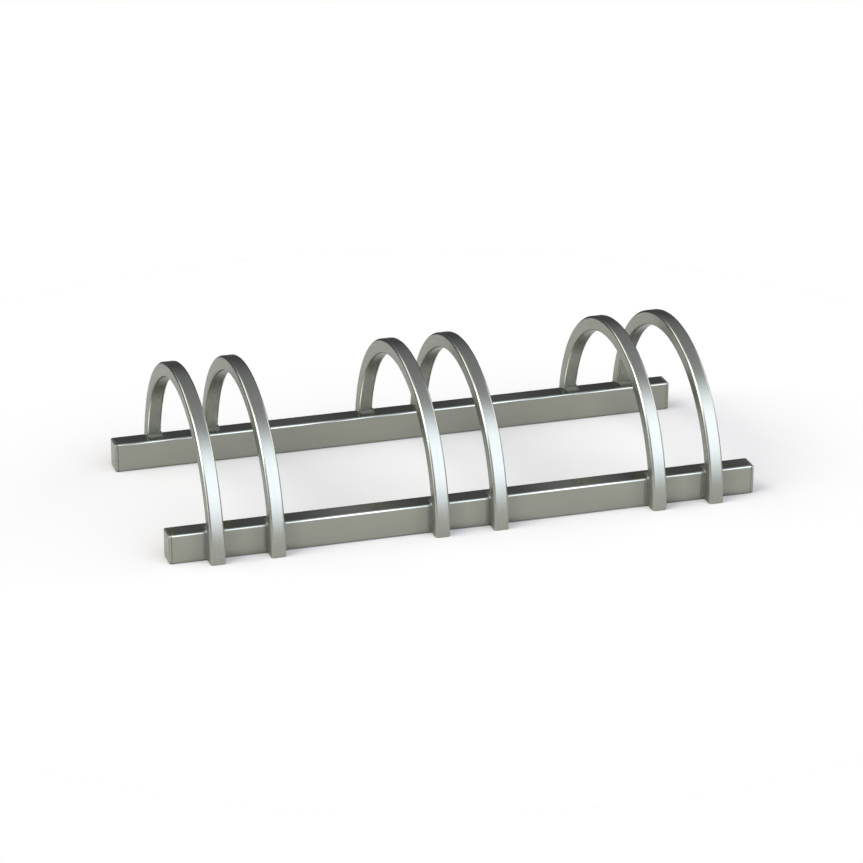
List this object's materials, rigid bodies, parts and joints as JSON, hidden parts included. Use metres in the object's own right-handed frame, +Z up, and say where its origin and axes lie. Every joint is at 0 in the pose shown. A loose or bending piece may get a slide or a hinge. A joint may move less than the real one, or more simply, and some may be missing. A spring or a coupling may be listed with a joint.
{
  "type": "bike rack",
  "caption": "Free-standing floor rack for bicycles: half-circle arches of square tube in close pairs straddle two rectangular rails with capped ends.",
  "frame": {"origin": "on the floor, at the centre of the rack's footprint", "axes": "+X along the rails from left to right, +Y from the front rail to the rear rail, +Z up"},
  "size_m": [0.8, 0.388, 0.1955],
  "materials": {
    "rail_steel": "satin, brushed lengthwise",
    "arch_steel": "satin, brushed along the bend",
    "cap_steel": "satin",
    "weld_steel": "dressed seam"
  },
  "bodies": {
    "root": {"front_rail": "rail_steel", "rear_rail": "rail_steel", "arch_1": "arch_steel", "arch_2": "arch_steel", "arch_3": "arch_steel", "arch_4": "arch_steel", "arch_5": "arch_steel", "arch_6": "arch_steel", "end_cap_front_left": "cap_steel", "end_cap_front_right": "cap_steel", "end_cap_rear_left": "cap_steel", "end_cap_rear_right": "cap_steel", "weld_front_1": "weld_steel", "weld_front_2": "weld_steel", "weld_front_3": "weld_steel", "weld_front_4": "weld_steel", "weld_front_5": "weld_steel", "weld_front_6": "weld_steel", "weld_rear_1": "weld_steel", "weld_rear_2": "weld_steel", "weld_rear_3": "weld_steel", "weld_rear_4": "weld_steel", "weld_rear_5": "weld_steel", "weld_rear_6": "weld_steel"}
  },
  "joints": []
}
